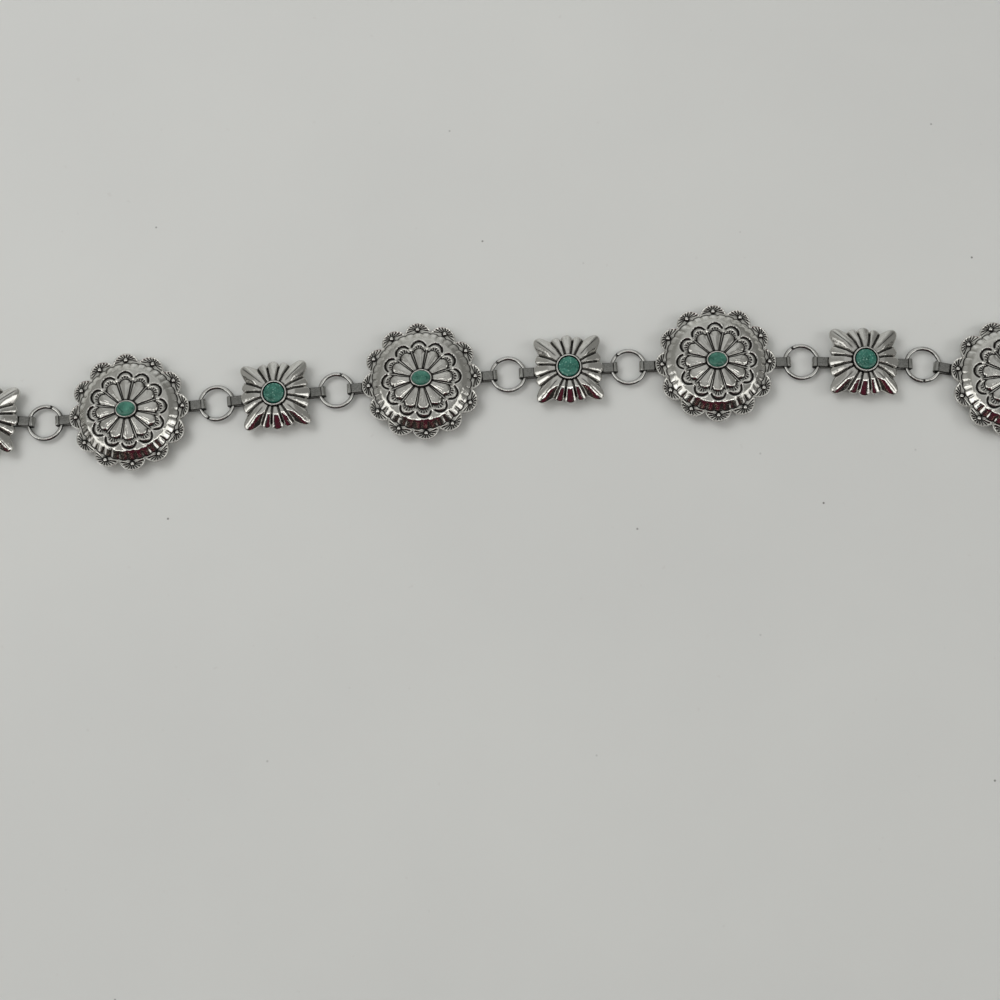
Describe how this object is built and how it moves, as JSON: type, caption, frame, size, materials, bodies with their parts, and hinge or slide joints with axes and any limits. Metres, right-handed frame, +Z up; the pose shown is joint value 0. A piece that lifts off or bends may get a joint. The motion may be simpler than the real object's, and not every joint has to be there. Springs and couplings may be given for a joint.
{
  "type": "concho belt",
  "caption": "Concho chain belt of domed, scalloped metal plates and smaller butterfly plates, each set with a stone, joined by split rings through flat strap loops, with a plain hook.",
  "frame": {"origin": "under the middle of the belt's bounding box, on the surface that it lies on", "axes": "+Z up from that surface, +X along the belt's long middle run from the hook's end to the ring's end, and +Y from its two ends towards the arch"},
  "size_m": [0.6222, 0.2532, 0.0097],
  "materials": {
    "plate_silver": "polished antique silver with dark oxidised recesses",
    "ring_metal": "polished",
    "hook_metal": "polished",
    "turquoise": "polished, mottled dark green and blue"
  },
  "bodies": {
    "root": {"concho_1": "plate_silver", "concho_stone_1": "turquoise", "concho_2": "plate_silver", "concho_stone_2": "turquoise", "concho_3": "plate_silver", "concho_stone_3": "turquoise", "concho_4": "plate_silver", "concho_stone_4": "turquoise", "concho_5": "plate_silver", "concho_stone_5": "turquoise", "concho_6": "plate_silver", "concho_stone_6": "turquoise", "concho_7": "plate_silver", "concho_stone_7": "turquoise", "concho_8": "plate_silver", "concho_stone_8": "turquoise", "butterfly_1": "plate_silver", "butterfly_stone_1": "turquoise", "butterfly_2": "plate_silver", "butterfly_stone_2": "turquoise", "butterfly_3": "plate_silver", "butterfly_stone_3": "turquoise", "butterfly_4": "plate_silver", "butterfly_stone_4": "turquoise", "butterfly_5": "plate_silver", "butterfly_stone_5": "turquoise", "butterfly_6": "plate_silver", "butterfly_stone_6": "turquoise", "butterfly_7": "plate_silver", "butterfly_stone_7": "turquoise", "ring_1": "ring_metal", "ring_2": "ring_metal", "ring_3": "ring_metal", "ring_4": "ring_metal", "ring_5": "ring_metal", "ring_6": "ring_metal", "ring_7": "ring_metal", "ring_8": "ring_metal", "ring_9": "ring_metal", "ring_10": "ring_metal", "ring_11": "ring_metal", "ring_12": "ring_metal", "ring_13": "ring_metal", "ring_14": "ring_metal", "ring_15": "ring_metal", "ring_16": "ring_metal", "hook": "hook_metal"}
  },
  "joints": []
}
